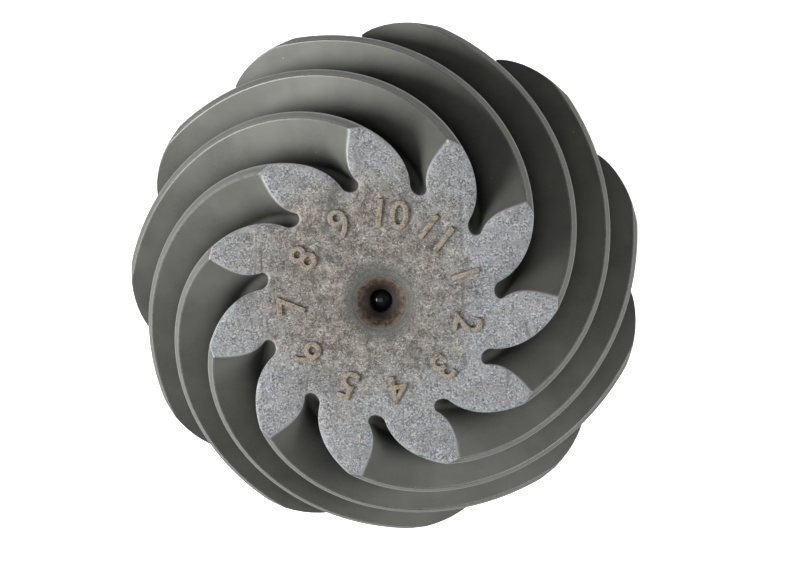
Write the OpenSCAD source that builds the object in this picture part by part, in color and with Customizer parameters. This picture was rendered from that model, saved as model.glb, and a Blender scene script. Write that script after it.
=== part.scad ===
// Hypoid drive pinion of a driven axle, built up with everything that its stem carries:
// taper roller bearings, shim, crush sleeve, slinger, oil seal, end yoke, washer and nut.
// The axis is Z. The teeth are at the top and the ears of the yoke stand on Z = 0.
// A "station" s is a distance below the bearing shoulder behind the gear head.

/* [Gear head] */
// Number of teeth
teeth = 11; // [9:1:13]
// Outside diameter over the large end of the teeth
heel_d = 95; // [85:1:105]
// Angle of the face cone to the axis
face_angle = 25.5; // [18:0.5:30]
// Length of the face cone along the axis
tooth_length = 36; // [28:1:38]
// Radial depth of the tooth spaces
tooth_depth = 10.8; // [8:0.1:12]
// Width of the top land, square to the tooth
land_w = 1.85; // [1:0.05:2.5]
// Spiral angle at the small end
toe_spiral = 36.8; // [20:0.1:45]
// Spiral angle at the large end
heel_spiral = 65.1; // [46:0.1:68]
// Angle at which the first tooth meets the small end face
first_tooth = 30.5; // [0:0.5:36]
// Radius that rounds the large end of each tooth
crown_r = 5.5; // [3:0.5:8]
// Diameter of the hub behind the teeth
hub_d = 60; // [54:1:66]
// Distance from the small end face to the bearing shoulder
head_length = 44; // [42:1:50]

/* [Stem] */
// Station where the rear journal steps down to the front one
step_station = 30; // [28:1:34]
// Number of spline teeth
spline_teeth = 30; // [24:1:34]
// Outside diameter of the spline
spline_d = 32; // [30:0.5:33]
// Radial height of the spline teeth
spline_h = 1.1; // [0.8:0.1:1.3]
// Outside diameter of the thread
thread_d = 22.2; // [20:0.1:24]
// Pitch of the thread
thread_pitch = 1.8; // [1.5:0.1:2.5]

/* [Rear bearing] */
// Bore of the inner ring
rear_bore = 41.275; // [41:0.005:42]
// Outside diameter of the cup
rear_od = 82.55; // [82:0.05:84]
// Overall width
rear_t = 26.543; // [26.5:0.001:27]
// Width of the inner ring
rear_b = 25.654; // [25.6:0.001:26]
// Width of the cup
rear_c = 20.193; // [20:0.001:21]
// Number of rollers
rear_rollers_n = 18; // [14:1:18]

/* [Front bearing] */
// Bore of the inner ring
front_bore = 33.338; // [33.3:0.001:34]
// Outside diameter of the cup
front_od = 68.262; // [68:0.001:69]
// Overall width, and width of the inner ring
front_t = 22.225; // [22:0.001:23]
// Width of the cup
front_c = 17.462; // [17:0.001:18]
// Number of rollers
front_rollers_n = 17; // [13:1:17]
// Station of the back face of the inner ring
front_back_station = 93.7; // [92:0.1:96]

/* [Oil seal] */
// Outside diameter of the case
seal_od = 72; // [70:0.5:74]
// Depth of the case
seal_depth = 12; // [11:0.5:13]
// Gap between the lips and the yoke
lip_clearance = 0.05; // [0.02:0.01:0.1]

/* [Yoke] */
// Diameter of the hub that the seal runs on
yoke_hub_d = 48.2; // [47:0.1:50]
// Length of the hub bore
yoke_bore_length = 50; // [48:1:52]
// Distance between the end walls of the cap seats
cap_span = 81.8; // [80:0.1:84]
// Diameter of the universal joint bearing cap
cap_d = 27; // [24:0.1:28]
// Inside distance between the two ears
ear_gap = 58; // [54:1:60]
// Width of each ear at its end
ear_w = 50; // [46:1:54]
// Distance between the two strap bolt holes of one ear
strap_bolt_span = 38; // [36:0.5:40]
// Diameter of the strap bolt holes
strap_bolt_d = 6.8; // [6:0.1:7]
// Overall length from the bearing shoulder to the ends of the ears
yoke_station = 190; // [186:1:195]

/* [Hidden] */

round_fn = 96;
slip = 0.03;            // clearance of sliding metal surfaces
overlap = 1;            // depth that joined volumes share

forging = "dimgray";
machined = "silver";
bearing_steel = "lightsteelblue";
cage_steel = "slategray";
black_rubber = "#222222";
zinc = "darkkhaki";

// ---- gear head ----
heel_r = heel_d / 2;
toe_r = heel_r - tooth_length * tan(face_angle);
toe_turn = turn_rate(toe_spiral, toe_r);
heel_turn = turn_rate(heel_spiral, heel_r);
back_length = tooth_length + 0.8 * crown_r;
concave_swell = 13.3;   // degrees that the concave side leans out, per unit of depth
concave_tuck = 10.2;    // degrees by which its foot is undercut
convex_swell = 14.8;    // degrees that the convex side leans out at its foot
foot_u = 0.88;          // depth, as a share of the whole, where the round root starts
flank_steps = 4;
root_steps = 5;
face_steps = 18;
crown_steps = 4;
toe_fall = 0.25;        // how far the tooth tips stand back from the root at the small end face
back_fall = 0.6;        // the same at the large end
back_hollow = 3.4;      // rise of the hollow large end from the roots to the axis
hub_top = -5;           // station where the hub is inside the head
toe_hole_d = 4;
toe_hole_depth = 7;
toe_cone_d = 8;
toe_dish_d = 12;

// ---- stem ----
stem_chamfer = 1;
washer_t = 3;
slinger_t = 1.5;
shim_t = 0.8;
rear_r = rear_bore / 2;
front_r = front_bore / 2;
yoke_top_station = front_back_station + slinger_t;
boss_station = yoke_top_station + yoke_bore_length;
spline_start = yoke_top_station + 2.3;
spline_end = boss_station - 2.2;
thread_start = boss_station + 0.8;
nut_t = 14;
nut_station = boss_station + washer_t;
stem_end = nut_station + nut_t + 2.8;
thread_depth = 0.6 * thread_pitch;
shoulder_z = yoke_station;

// ---- taper bearings ----
rear_pitch_r = 31.3;        // radius to the middles of the rollers
rear_roller_r = 4.35;
rear_roller_l = 17;
rear_axis_angle = 18.1;     // slope of the roller axes
rear_roller_mid = 13.4;     // middle of the rollers below the back face of the ring
front_pitch_r = 25.4;
front_roller_r = 3.65;
front_roller_l = 13.5;
front_axis_angle = 17.9;
front_roller_mid = 11.3;
rear_brg = [rear_r, rear_od / 2, rear_t, rear_b, rear_c, rear_rollers_n,
            rear_pitch_r, rear_roller_r, rear_roller_l, rear_axis_angle, rear_roller_mid];
front_brg = [front_r, front_od / 2, front_t, front_t, front_c, front_rollers_n,
             front_pitch_r, front_roller_r, front_roller_l, front_axis_angle, front_roller_mid];
race_gap = 0.03;
end_gap = 0.1;
window_gap = 0.2;
cage_t = 1.1;
cage_offset = 1.2;
cage_rim = 2;
cage_flange = 2.2;
big_rib = 2.4;
small_rib = 1.2;
ring_chamfer = 1.2;
edge_break = 0.5;

// ---- oil seal ----
seal_station = 99.5;
seal_flange_d = seal_od + 5;
case_t = 1.2;
lip_r = yoke_hub_d / 2 + lip_clearance;
spring_wire_d = 1.6;
spring_ring_r = lip_r + 2.9;
spring_station = seal_station + 0.7;
lip_flange_t = 1.6;

// ---- yoke ----
hub_r = yoke_hub_d / 2;
ear_out = cap_span / 2 + 3.2;
neck_station = 121;
base_station = 134;
floor_r = 20.5;
ear_corner = 8;         // how much of the width each cut corner takes
ear_flat = 6;           // and how much of the reach
strap_bolt_depth = 18;
deflector_station = seal_station + seal_depth + 5;
nut_af = 30;
nut_flange_d = 36;

// ================= shared helpers =================

// Degrees of turn per millimetre of axis for a spiral angle at a radius of the face cone
function turn_rate(spiral, r) = tan(spiral) / (r * cos(face_angle)) * 180 / PI;

// Lifts its children to a station below the bearing shoulder
module at_station(s) translate([0, 0, shoulder_z - s]) children();

// Ring from station s0 down to station s1
module ring(s0, s1, outer_r, inner_r) {
    at_station(s1) difference() {
        cylinder(h = s1 - s0, r = outer_r, $fn = round_fn);
        translate([0, 0, -overlap]) cylinder(h = s1 - s0 + 2 * overlap, r = inner_r, $fn = round_fn);
    }
}

// Solid of revolution from points given as [radius, station]
module turned(points) {
    rotate_extrude($fn = round_fn) polygon([for (p = points) [p[0], shoulder_z - p[1]]]);
}

// ================= gear head =================

// Turn of a tooth at a depth d below the small end face
function twist(d) = toe_turn * d + (heel_turn - toe_turn) / (2 * tooth_length) * d * d;
function face_r(d) = toe_r + d * tan(face_angle);
function crown_drop(d) = d <= tooth_length ? 0
    : crown_r - sqrt(crown_r * crown_r - pow(d - tooth_length, 2)) + (d - tooth_length) * tan(face_angle);

// Angle that the top land covers
function land_angle(d) = let (
        rate = (toe_turn + (heel_turn - toe_turn) * min(d / tooth_length, 1)) * PI / 180,
        spiral = atan(rate * face_r(d) * cos(face_angle)))
    land_w / (face_r(d) * cos(spiral)) * 180 / PI;

// Sides of a tooth as angles from the edge of its land, for a share u of the depth
function concave_side(d, u) = land_angle(d) + concave_swell * u - concave_tuck * pow(u, 4);
function convex_side(u) = -convex_swell * u * (2 - u);

// Both end faces are slightly coned over the teeth
function end_fall(d, u) = max(0, 1 - u / foot_u) * (d == 0 ? -toe_fall : d == back_length ? back_fall : 0);

// A point of the tooth surface: it sits square below the face cone, so it lags the land
function tooth_point(d, u, side, i) = let (
        lag = u * tooth_depth * cos(face_angle) * sin(face_angle),
        a = first_tooth + i * 360 / teeth + twist(d - lag) + side,
        r = face_r(d) - u * tooth_depth)
    [r * cos(a), r * sin(a), shoulder_z + head_length - d + end_fall(d, u)];

// Outline of one tooth and the space after it, at depth d
function tooth_outline(d, i) = let (
        top = crown_drop(d) / tooth_depth,
        foot_a = concave_side(d, foot_u),
        foot_b = 360 / teeth + convex_side(foot_u))
    concat(
        [for (k = [flank_steps:-1:0]) let (u = top + (foot_u - top) * k / flank_steps)
            tooth_point(d, u, convex_side(u), i)],
        [for (k = [0:flank_steps]) let (u = top + (foot_u - top) * k / flank_steps)
            tooth_point(d, u, concave_side(d, u), i)],
        [for (k = [1:root_steps - 1]) let (q = 180 * k / root_steps)
            tooth_point(d, foot_u + (1 - foot_u) * sin(q),
                (foot_a + foot_b) / 2 - (foot_b - foot_a) / 2 * cos(q), i)]);

// For the loop of outlines that starts at point number base: the points round the roots, and
// the faces that close the teeth, a ladder of triangles from one side of each to the other
function root_ring(base) = let (far = 2 * flank_steps + 1, size = far + root_steps)
    [for (i = [0:teeth - 1]) each [base + i * size, for (k = [far:size - 1]) base + i * size + k]];
function tooth_ends(base) = let (far = 2 * flank_steps + 1, size = far + root_steps)
    [for (i = [0:teeth - 1]) for (k = [0:flank_steps - 1]) let (b = base + i * size) each
        [[b + k, b + k + 1, b + far - k - 1], [b + k, b + far - k - 1, b + far - k]]];

function reversed(face) = [for (k = [len(face) - 1:-1:0]) face[k]];

// The small end face is flat inside the roots, and the large one is a shallow hollow cone
module toothed_cone() {
    depths = concat([for (k = [0:face_steps]) tooth_length * k / face_steps],
                    [for (k = [1:crown_steps - 1])
                        tooth_length + (back_length - tooth_length) * k / crown_steps],
                    [back_length]);
    loops = [for (d = depths) [for (i = [0:teeth - 1]) each tooth_outline(d, i)]];
    n = len(loops[0]);
    last = len(loops) - 1;
    back_ring = root_ring(last * n);
    apex = len(loops) * n;
    polyhedron(
        points = concat([for (loop = loops) each loop],
                        [[0, 0, shoulder_z + head_length - back_length + back_hollow]]),
        faces = concat(
            [for (face = concat([root_ring(0)], tooth_ends(0))) reversed(face)],
            [for (k = [0:last - 1]) for (j = [0:n - 1])
                [k * n + j, k * n + (j + 1) % n, (k + 1) * n + (j + 1) % n, (k + 1) * n + j]],
            tooth_ends(last * n),
            [for (k = [0:len(back_ring) - 1])
                [back_ring[k], back_ring[(k + 1) % len(back_ring)], apex]]),
        convexity = 12);
}

// Centre hole, its cone and the soft dish round it, cut into the small end face
module toe_centre() {
    turned([[0, -head_length - overlap], [toe_dish_d / 2 + 1, -head_length - overlap],
            [toe_dish_d / 2, -head_length], [toe_cone_d / 2, -head_length + 0.6],
            [toe_hole_d / 2, -head_length + 2.6],
            [toe_hole_d / 2, -head_length + toe_hole_depth], [0, -head_length + toe_hole_depth + 1]]);
}

// ================= stem =================

// Outline of a straight-sided spline, grown by a clearance
module spline_outline(grow) {
    top_r = spline_d / 2 + grow;
    low_r = spline_d / 2 - spline_h + grow;
    step = 360 / spline_teeth;
    corners = [[-0.33, low_r], [-0.18, top_r], [0.18, top_r], [0.33, low_r]];
    polygon([for (i = [0:spline_teeth - 1]) for (p = corners)
        p[1] * [cos((i + p[0]) * step), sin((i + p[0]) * step)]]);
}

module stem() {
    low_r = spline_d / 2 - spline_h;
    crest_r = thread_d / 2;
    turns = floor((stem_end - stem_chamfer - thread_start) / thread_pitch);
    turned(concat(
        [[0, -head_length + toe_hole_depth + 4], [hub_d / 2 - 6, hub_top], [hub_d / 2, hub_top],
         [hub_d / 2, -1], [hub_d / 2 - 1, 0], [rear_r, 0], [rear_r, step_station],
         [front_r, step_station], [front_r, spline_start - 0.5],
         [low_r - 0.3, spline_start], [low_r - 0.3, spline_end],
         [crest_r - thread_depth, spline_end + 1], [crest_r - thread_depth, thread_start]],
        [for (i = [0:turns - 1]) each [
            [crest_r, thread_start + (i + 0.4) * thread_pitch],
            [crest_r, thread_start + (i + 0.6) * thread_pitch],
            [crest_r - thread_depth, thread_start + (i + 1) * thread_pitch]]],
        [[crest_r - thread_depth, stem_end - stem_chamfer],
         [crest_r - thread_depth - stem_chamfer, stem_end], [0, stem_end]]));
    at_station(spline_end) linear_extrude(height = spline_end - spline_start) spline_outline(0);
}

module drive_pinion() {
    color(forging) difference() {
        union() {
            toothed_cone();
            stem();
        }
        toe_centre();
    }
}

module depth_shim() {
    color(machined) ring(0, shim_t, hub_d / 2 - 2, rear_r + 0.1);
}

// Collapsible spacer: two straight ends and a bulge between them
module crush_sleeve() {
    wall = 2.1;
    inner = front_r + 0.3;
    bulge = 2.4;
    mid = (step_station + front_back_station - front_t) / 2;
    half = (front_back_station - front_t - step_station) / 2;
    curve = [for (k = [-6:6]) [inner + bulge * (1 + cos(k * 30)) / 2, mid + k * half / 9]];
    color(zinc) turned(concat(
        [[inner, step_station]], curve, [[inner, mid + half]],
        [[inner + wall, mid + half]],
        [for (k = [6:-1:-6]) let (p = curve[k + 6]) [p[0] + wall, p[1]]],
        [[inner + wall, step_station]]));
}

// ================= taper roller bearings =================
// Points are [radius, distance below the back face]. Roller axes and both raceways meet at
// one apex on the bearing axis, so every roller touches its raceways along a line.

function bore_r(b) = b[0];
function cup_r(b) = b[1];
function overall_w(b) = b[2];
function ring_w(b) = b[3];
function cup_w(b) = b[4];
function roller_count(b) = b[5];
function pitch_r(b) = b[6];
function roller_r(b) = b[7];
function roller_l(b) = b[8];
function axis_angle(b) = b[9];
function roller_mid(b) = b[10];

// Distance from the apex to the middle of a roller, and the apex's distance below the back face
function apex_reach(b) = pitch_r(b) / sin(axis_angle(b));
function apex_w(b) = roller_mid(b) + pitch_r(b) / tan(axis_angle(b));
function roller_half_angle(b) = atan(roller_r(b) / apex_reach(b));
// Radius of a cone through the apex, with half angle a, at distance w
function race_r(b, a, w) = (apex_w(b) - w) * tan(a);
// Distance w at radius r of a plane square to the roller axis, at reach e from the apex
function end_w(b, r, e) = apex_w(b) - (e - r * sin(axis_angle(b))) / cos(axis_angle(b));
// Radius where that plane cuts the cone with half angle a
function end_r(b, a, e) = e / (cos(axis_angle(b)) + tan(a) * sin(axis_angle(b))) * tan(a);
// Point at reach e along the cone of roller axes, and o outside it
function shell_point(b, e, o) = [
    e * sin(axis_angle(b)) + o * cos(axis_angle(b)),
    apex_w(b) - e * cos(axis_angle(b)) + o * sin(axis_angle(b))];

module bearing_profile(points) {
    rotate_extrude($fn = round_fn) polygon([for (p = points) [p[0], -p[1]]]);
}

module bearing_cone(b) {
    a = axis_angle(b) - roller_half_angle(b);
    big_e = apex_reach(b) + roller_l(b) / 2 + end_gap;
    small_e = apex_reach(b) - roller_l(b) / 2 - end_gap;
    big_r = end_r(b, a, big_e);
    small_r = end_r(b, a, small_e);
    big_rib_r = big_r + big_rib;
    small_rib_r = small_r + small_rib;
    bearing_profile([
        [bore_r(b), ring_chamfer], [bore_r(b) + ring_chamfer, 0],
        [big_rib_r - edge_break, 0], [big_rib_r, edge_break],
        [big_rib_r, end_w(b, big_rib_r, big_e)], [big_r, end_w(b, big_r, big_e)],
        [small_r, end_w(b, small_r, small_e)], [small_rib_r, end_w(b, small_rib_r, small_e)],
        [small_rib_r, ring_w(b) - edge_break], [small_rib_r - edge_break, ring_w(b)],
        [bore_r(b) + edge_break, ring_w(b)], [bore_r(b), ring_w(b) - edge_break]]);
}

module bearing_cup(b) {
    a = axis_angle(b) + roller_half_angle(b);
    thin_w = overall_w(b) - cup_w(b);
    back_w = overall_w(b);
    bearing_profile([
        [race_r(b, a, thin_w + edge_break), thin_w + edge_break],
        [race_r(b, a, thin_w) + edge_break, thin_w],
        [cup_r(b) - edge_break, thin_w], [cup_r(b), thin_w + edge_break],
        [cup_r(b), back_w - ring_chamfer], [cup_r(b) - ring_chamfer, back_w],
        [race_r(b, a, back_w) + edge_break, back_w],
        [race_r(b, a, back_w - edge_break), back_w - edge_break]]);
}

// One roller, grown by a clearance on its side and on both ends
module roller(b, side, ends) {
    low = apex_reach(b) - roller_l(b) / 2 - ends;
    high = apex_reach(b) + roller_l(b) / 2 + ends;
    half = roller_half_angle(b);
    translate([0, 0, -apex_w(b)]) rotate([0, axis_angle(b), 0]) translate([0, 0, low])
        cylinder(h = high - low, r1 = low * tan(half) + side, r2 = high * tan(half) + side, $fn = 48);
}

module rollers_round(b, side, ends) {
    for (i = [0:roller_count(b) - 1]) rotate([0, 0, i * 360 / roller_count(b)]) roller(b, side, ends);
}

// Conical shell round the roller axes, with a window for each roller
module bearing_cage(b) {
    low = apex_reach(b) - roller_l(b) / 2 - cage_rim;
    high = apex_reach(b) + roller_l(b) / 2 + cage_rim;
    inside = cage_offset - cage_flange;
    outside = cage_offset + cage_t;
    difference() {
        bearing_profile([
            shell_point(b, low, inside), shell_point(b, low, cage_offset),
            shell_point(b, high, cage_offset), shell_point(b, high, outside),
            shell_point(b, low - cage_t + 1, outside), shell_point(b, low - cage_t, outside - 1),
            shell_point(b, low - cage_t, inside)]);
        rollers_round(b, window_gap, window_gap);
    }
}

// The rear bearing has its back face against the shim, the front one faces the yoke
module rear_place() at_station(shim_t) children();
module front_place() at_station(front_back_station) mirror([0, 0, 1]) children();

module rear_bearing_cone() {
    color(bearing_steel) rear_place() bearing_cone(rear_brg);
}

module rear_bearing_rollers() {
    color(machined) rear_place() rollers_round(rear_brg, -race_gap, 0);
}

module rear_bearing_cage() {
    color(cage_steel) rear_place() bearing_cage(rear_brg);
}

module rear_bearing_cup() {
    color(bearing_steel) rear_place() bearing_cup(rear_brg);
}

module front_bearing_cone() {
    color(bearing_steel) front_place() bearing_cone(front_brg);
}

module front_bearing_rollers() {
    color(machined) front_place() rollers_round(front_brg, -race_gap, 0);
}

module front_bearing_cage() {
    color(cage_steel) front_place() bearing_cage(front_brg);
}

module front_bearing_cup() {
    color(bearing_steel) front_place() bearing_cup(front_brg);
}

// Thrower disc with its rim turned towards the bearing
module oil_slinger() {
    rim_r = 30;
    bend_r = rim_r - 2.5;
    color(zinc) turned([
        [front_r + 0.1, front_back_station], [bend_r, front_back_station],
        [rim_r, front_back_station - 2], [rim_r, front_back_station - 0.5],
        [bend_r, yoke_top_station], [front_r + 0.1, yoke_top_station]]);
}

// ================= oil seal =================

// Pressed steel cup: an outside wall, a flange at the yoke end and a web at the oil end
module seal_case() {
    out = seal_station + seal_depth;
    color(machined) turned([
        [seal_od / 2 - 1, seal_station], [seal_od / 2, seal_station + 1], [seal_od / 2, out],
        [seal_flange_d / 2, out], [seal_flange_d / 2, out + case_t],
        [seal_od / 2 - case_t, out + case_t], [seal_od / 2 - case_t, seal_station + case_t],
        [lip_r + 6, seal_station + case_t], [lip_r + 6, seal_station]]);
}

// Second ring that clamps the rubber into the case
module seal_inner_case() {
    top = seal_station + case_t + lip_flange_t;
    wall_r = seal_od / 2 - case_t;
    color(machined) turned([
        [wall_r - case_t, seal_station + seal_depth - 1], [wall_r, seal_station + seal_depth - 1],
        [wall_r, top], [lip_r + 7, top], [lip_r + 7, top + case_t], [wall_r - case_t, top + case_t]]);
}

// Ring of round wire in the groove of the seal, for a wire diameter
module garter_ring(wire_d) {
    at_station(spring_station) rotate_extrude($fn = round_fn)
        translate([spring_ring_r, 0]) circle(d = wire_d, $fn = 24);
}

// Rubber lip with a groove for its garter spring, and a small dust lip at the yoke end
module seal_lip() {
    web = seal_station + case_t;
    seat_r = seal_od / 2 - case_t;
    clamp_w = web + lip_flange_t;
    color(black_rubber) difference() {
        turned([
            [seat_r, web], [lip_r + 5.2, web], [lip_r + 4.4, web - 0.8],
            [lip_r + 0.9, web - 0.8], [lip_r, web + 1.6], [lip_r, web + 2.2],
            [lip_r + 2.2, web + 4.6], [lip_r + 0.3, web + 8], [lip_r, web + 8.6],
            [lip_r + 0.6, web + 8.8], [lip_r + 4, web + 5], [lip_r + 5.5, clamp_w],
            [seat_r, clamp_w]]);
        garter_ring(spring_wire_d + 2 * slip);
    }
}

module seal_spring() {
    color(machined) garter_ring(spring_wire_d);
}

// ================= yoke =================

// Side view of the two ears and the floor between them, as [x, station]
module ear_outline() {
    polygon(concat(
        [for (p = [[-ear_out, yoke_station], [-ear_out, base_station + 22], [-hub_r - 9, base_station],
                   [-hub_r, neck_station], [hub_r, neck_station], [hub_r + 9, base_station],
                   [ear_out, base_station + 22], [ear_out, yoke_station], [ear_gap / 2, yoke_station],
                   [ear_gap / 2, boss_station + 14]]) [p[0], shoulder_z - p[1]]],
        [for (q = [0:15:90]) [floor_r + 1 + (ear_gap / 2 - floor_r - 1) * cos(q),
                              shoulder_z - (boss_station + 12) + 12 * sin(q)]],
        [for (q = [90:15:180]) [-floor_r - 1 + (ear_gap / 2 - floor_r - 1) * cos(q),
                                shoulder_z - (boss_station + 12) + 12 * sin(q)]],
        [[-ear_gap / 2, shoulder_z - (boss_station + 14)], [-ear_gap / 2, shoulder_z - yoke_station]]));
}

// End view of an ear: wide at the cap seat, drawn in towards the hub, as [y, station]
module ear_end_outline() {
    half = ear_w / 2;
    polygon([for (p = [[-half, yoke_station], [-half, yoke_station - 16], [-half + 4, yoke_station - 28],
                       [-hub_r + 1, base_station + 8], [-hub_r + 1, neck_station],
                       [hub_r - 1, neck_station], [hub_r - 1, base_station + 8],
                       [half - 4, yoke_station - 28], [half, yoke_station - 16], [half, yoke_station]])
        [p[0], shoulder_z - p[1]]]);
}

// Plan of the ears: their four outer corners are cut off
module ear_plan() {
    half = ear_w / 2;
    polygon([for (p = [[ear_out, ear_corner - half], [ear_out, half - ear_corner], [ear_out - ear_flat, half],
                       [ear_flat - ear_out, half], [-ear_out, half - ear_corner],
                       [-ear_out, ear_corner - half], [ear_flat - ear_out, -half],
                       [ear_out - ear_flat, -half]]) p]);
}

module cap_seat() {
    at_station(yoke_station) rotate([0, 90, 0]) translate([0, 0, -cap_span / 2])
        cylinder(h = cap_span, d = cap_d, $fn = round_fn);
}

module strap_bolt_holes() {
    x = (ear_gap + cap_span) / 4;
    for (sx = [-1, 1]) for (sy = [-1, 1])
        translate([sx * x, sy * strap_bolt_span / 2, -overlap])
            cylinder(h = strap_bolt_depth + overlap, d = strap_bolt_d, $fn = 48);
}

module end_yoke() {
    color(forging) difference() {
        union() {
            turned([[0, yoke_top_station], [hub_r - 1, yoke_top_station], [hub_r, yoke_top_station + 1],
                    [hub_r, neck_station + 3], [0, neck_station + 3]]);
            intersection() {
                rotate([90, 0, 0]) linear_extrude(height = 4 * hub_r, center = true) ear_outline();
                rotate([90, 0, 90]) linear_extrude(height = 4 * ear_out, center = true) ear_end_outline();
                linear_extrude(height = shoulder_z) ear_plan();
            }
        }
        cap_seat();
        strap_bolt_holes();
        at_station(boss_station + overlap) linear_extrude(height = yoke_bore_length + 2 * overlap)
            spline_outline(slip);
        at_station(spline_start) cylinder(h = spline_start, r = front_r + slip, $fn = round_fn);
    }
}

// Thin dished shield pressed on the hub of the yoke
module dust_deflector() {
    rim_r = 37;
    s = deflector_station;
    color(zinc) turned([
        [hub_r, s + 3], [hub_r, s - 2], [hub_r + case_t, s - 2], [hub_r + case_t, s],
        [rim_r - 3, s], [rim_r, s - 3], [rim_r + 0.6, s - 2.2], [rim_r - 2.4, s + 1],
        [hub_r + case_t, s + 1], [hub_r + case_t, s + 3]]);
}

module pinion_washer() {
    color(machined) ring(boss_station, nut_station, floor_r - 1.5, thread_d / 2 + 0.2);
}

// Flanged hexagon nut with a thin locking collar
module pinion_nut() {
    collar_t = 2.5;
    flange_t = 2.5;
    hex_r = nut_af / sqrt(3);
    hex_station = nut_station + nut_t - collar_t;
    color(zinc) difference() {
        union() {
            intersection() {
                at_station(hex_station) cylinder(h = hex_station - nut_station, r = hex_r, $fn = 6);
                turned([[0, nut_station], [hex_r + 1, nut_station], [hex_r + 1, hex_station - 1.6],
                        [hex_r - 1.8, hex_station], [0, hex_station]]);
            }
            turned([[0, nut_station], [nut_flange_d / 2, nut_station], [nut_flange_d / 2, nut_station + 1],
                    [hex_r - 1, nut_station + flange_t], [0, nut_station + flange_t]]);
            turned([[0, nut_station + flange_t], [thread_d / 2 + 2.2, nut_station + flange_t],
                    [thread_d / 2 + 1.4, nut_station + nut_t], [0, nut_station + nut_t]]);
        }
        at_station(nut_station + nut_t + overlap)
            cylinder(h = nut_t + 2 * overlap, r = thread_d / 2, $fn = round_fn);
    }
}

drive_pinion();
depth_shim();
rear_bearing_cone();
rear_bearing_rollers();
rear_bearing_cage();
rear_bearing_cup();
crush_sleeve();
front_bearing_cone();
front_bearing_rollers();
front_bearing_cage();
front_bearing_cup();
oil_slinger();
seal_case();
seal_inner_case();
seal_lip();
seal_spring();
end_yoke();
dust_deflector();
pinion_washer();
pinion_nut();
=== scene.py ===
"""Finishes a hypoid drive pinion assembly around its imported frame: the toothed head, the stem
that carries the bearings, the yoke, the fasteners, the surface of every part, and the stage."""

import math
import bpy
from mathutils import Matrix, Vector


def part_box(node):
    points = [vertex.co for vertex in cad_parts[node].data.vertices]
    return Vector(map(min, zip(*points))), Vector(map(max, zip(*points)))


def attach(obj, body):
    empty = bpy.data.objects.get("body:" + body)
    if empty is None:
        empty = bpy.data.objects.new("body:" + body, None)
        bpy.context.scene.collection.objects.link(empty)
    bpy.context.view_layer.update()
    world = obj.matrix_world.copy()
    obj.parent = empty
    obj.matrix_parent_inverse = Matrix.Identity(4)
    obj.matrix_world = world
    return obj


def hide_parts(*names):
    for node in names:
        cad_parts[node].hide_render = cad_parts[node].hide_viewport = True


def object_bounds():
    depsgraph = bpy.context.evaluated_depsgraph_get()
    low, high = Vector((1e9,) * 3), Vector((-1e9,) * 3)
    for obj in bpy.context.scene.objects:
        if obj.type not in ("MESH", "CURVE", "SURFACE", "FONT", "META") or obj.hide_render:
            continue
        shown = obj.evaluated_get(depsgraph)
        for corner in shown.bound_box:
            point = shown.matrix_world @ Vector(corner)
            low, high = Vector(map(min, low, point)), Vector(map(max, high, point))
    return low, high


bl_info = {
    "name": "Drive Pinion Finish",
    "version": (1, 0, 0),
    "blender": (4, 5, 0),
    "location": "View3D > Sidebar > Pinion",
    "description": "Builds the visible surfaces of a drive pinion assembly and a studio for it",
    "category": "Object",
}

import bmesh
import bpy
import numpy as np
from bpy.props import (FloatProperty, FloatVectorProperty, IntProperty, PointerProperty)
from mathutils import Matrix, Vector

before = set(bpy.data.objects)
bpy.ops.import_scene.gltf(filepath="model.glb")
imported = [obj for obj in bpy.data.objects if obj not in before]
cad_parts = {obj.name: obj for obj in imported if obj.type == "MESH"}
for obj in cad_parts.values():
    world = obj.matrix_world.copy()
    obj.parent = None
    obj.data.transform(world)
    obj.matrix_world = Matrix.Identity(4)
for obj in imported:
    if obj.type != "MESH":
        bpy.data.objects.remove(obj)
CAD_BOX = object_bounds()
TOE_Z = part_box("drive_pinion")[1].z
STEM_END_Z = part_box("drive_pinion")[0].z
MM = 0.001


# ---------------------------------------------------------------- settings

def length_prop(name, description, default):
    return FloatProperty(name=name, description=description, default=default, subtype="DISTANCE",
                         unit="LENGTH")


def angle_prop(name, description, degrees):
    return FloatProperty(name=name, description=description, default=math.radians(degrees),
                         subtype="ANGLE", unit="ROTATION")


def colour_prop(name, description, default):
    return FloatVectorProperty(name=name, description=description, subtype="COLOR", size=3, min=0,
                               max=1, default=default)


def place_prop(name, description, default):
    return FloatVectorProperty(name=name, description=description, subtype="XYZ", unit="LENGTH",
                               size=3, default=default)


class GearHeadSettings(bpy.types.PropertyGroup):
    """Shape of the toothed head"""
    teeth: IntProperty(name="Teeth", description="Number of teeth", default=11, min=9, max=13)
    heel_diameter: length_prop("Heel diameter", "Diameter over the large end of the teeth", 95 * MM)
    face_angle: angle_prop("Face angle", "Angle of the face cone to the axis", 25.5)
    tooth_length: length_prop("Tooth length", "Length of the face cone along the axis", 36 * MM)
    tooth_depth: length_prop("Tooth depth", "Radial depth of the tooth spaces", 10.8 * MM)
    land_width: length_prop("Land width", "Width of the top land, square to the tooth", 1.85 * MM)
    toe_spiral: angle_prop("Toe spiral", "Spiral angle at the small end", 36.8)
    heel_spiral: angle_prop("Heel spiral", "Spiral angle at the large end", 65.1)
    first_tooth: angle_prop("First tooth", "Direction of the first tooth at the small end", 30.5)
    crown_radius: length_prop("Crown radius", "Radius that rounds the large end of each tooth", 5.5 * MM)
    edge_radius: length_prop("Edge radius", "Rounding along the edges of the top lands", 0.22 * MM)
    number_height: length_prop("Number height", "Height of the raised tooth numbers", 5.0 * MM)
    number_ring: length_prop("Number ring", "Radius to the feet of the raised tooth numbers", 13.0 * MM)


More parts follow.
